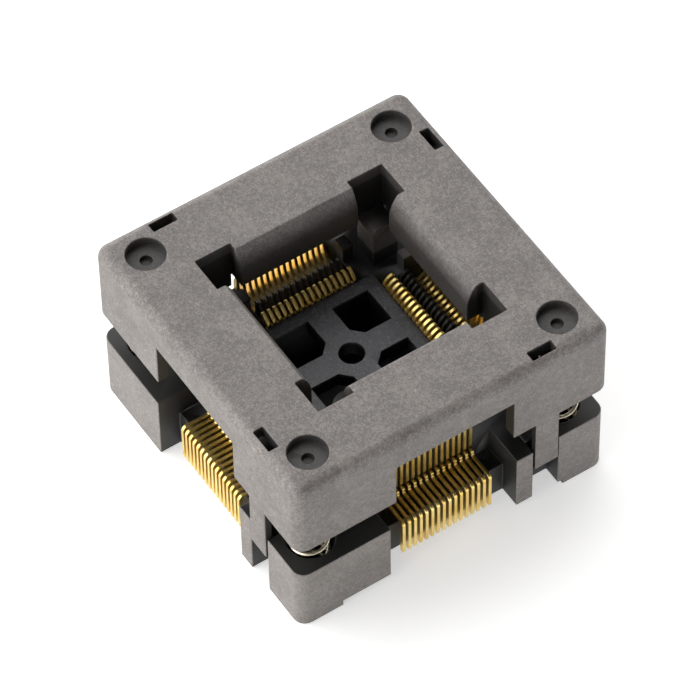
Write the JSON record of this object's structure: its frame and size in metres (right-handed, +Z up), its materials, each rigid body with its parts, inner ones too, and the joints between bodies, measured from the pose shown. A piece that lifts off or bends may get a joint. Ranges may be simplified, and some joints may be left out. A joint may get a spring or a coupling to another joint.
{
  "type": "ic test socket",
  "caption": "Open-top test socket for a square leaded chip; pressing the sprung cover swings the contact arms outwards, releasing it grips the leads.",
  "frame": {"origin": "middle of the underside, at the bottom of the two rails", "axes": "+Z is up, out of the board; +X is the side called right and -Y the side called front; the four sides repeat a quarter turn apart, apart from the rails, which run along Y under the right and left sides"},
  "size_m": [0.0268, 0.0268, 0.0163],
  "materials": {
    "cover_plastic": "glass-filled moulding, mottled warm grey",
    "base_plastic": "glass-filled moulding, dark grey",
    "platform_plastic": "moulded, nearly black",
    "spring_steel": "drawn spring wire",
    "gold_plating": "gold plating over a copper alloy, stamped edges"
  },
  "bodies": {
    "socket_base": {"base": "base_plastic", "platform": "platform_plastic", "spring_front_left": "spring_steel", "spring_front_right": "spring_steel", "spring_back_right": "spring_steel", "spring_back_left": "spring_steel", "contact_tails_front_a": "gold_plating", "contact_tails_front_b": "gold_plating", "contact_tails_right_a": "gold_plating", "contact_tails_right_b": "gold_plating", "contact_tails_back_a": "gold_plating", "contact_tails_back_b": "gold_plating", "contact_tails_left_a": "gold_plating", "contact_tails_left_b": "gold_plating"},
    "cover": {"cover": "cover_plastic"},
    "arms_front": {"contact_arms_front_a": "gold_plating", "contact_arms_front_b": "gold_plating"},
    "arms_right": {"contact_arms_right_a": "gold_plating", "contact_arms_right_b": "gold_plating"},
    "arms_back": {"contact_arms_back_a": "gold_plating", "contact_arms_back_b": "gold_plating"},
    "arms_left": {"contact_arms_left_a": "gold_plating", "contact_arms_left_b": "gold_plating"}
  },
  "joints": [
    {"name": "cover_press", "type": "slide", "parent": "socket_base", "child": "cover", "axis": [0, 0, -1], "range_m": [0, 0.0025], "stiffness_N_per_m": 3000, "springref_m": -0.003, "deforming": ["spring_front_left", "spring_front_right", "spring_back_right", "spring_back_left"]},
    {"name": "arms_right_swing", "type": "hinge", "parent": "socket_base", "child": "arms_right", "pos_m": [0.0096, 0, 0.00495], "axis": [0, 1, 0], "range_deg": [0, 11.46]},
    {"name": "arms_back_swing", "type": "hinge", "parent": "socket_base", "child": "arms_back", "pos_m": [0, 0.0096, 0.00495], "axis": [-1, 0, 0], "range_deg": [0, 11.46]},
    {"name": "arms_left_swing", "type": "hinge", "parent": "socket_base", "child": "arms_left", "pos_m": [-0.0096, 0, 0.00495], "axis": [0, -1, 0], "range_deg": [0, 11.46]},
    {"name": "arms_front_swing", "type": "hinge", "parent": "socket_base", "child": "arms_front", "pos_m": [0, -0.0096, 0.00495], "axis": [1, 0, 0], "range_deg": [0, 11.46]}
  ],
  "couplings": [
    {"joint": "arms_front_swing", "follows": "cover_press", "rad_per_m": 80},
    {"joint": "arms_right_swing", "follows": "cover_press", "rad_per_m": 80},
    {"joint": "arms_back_swing", "follows": "cover_press", "rad_per_m": 80},
    {"joint": "arms_left_swing", "follows": "cover_press", "rad_per_m": 80}
  ]
}
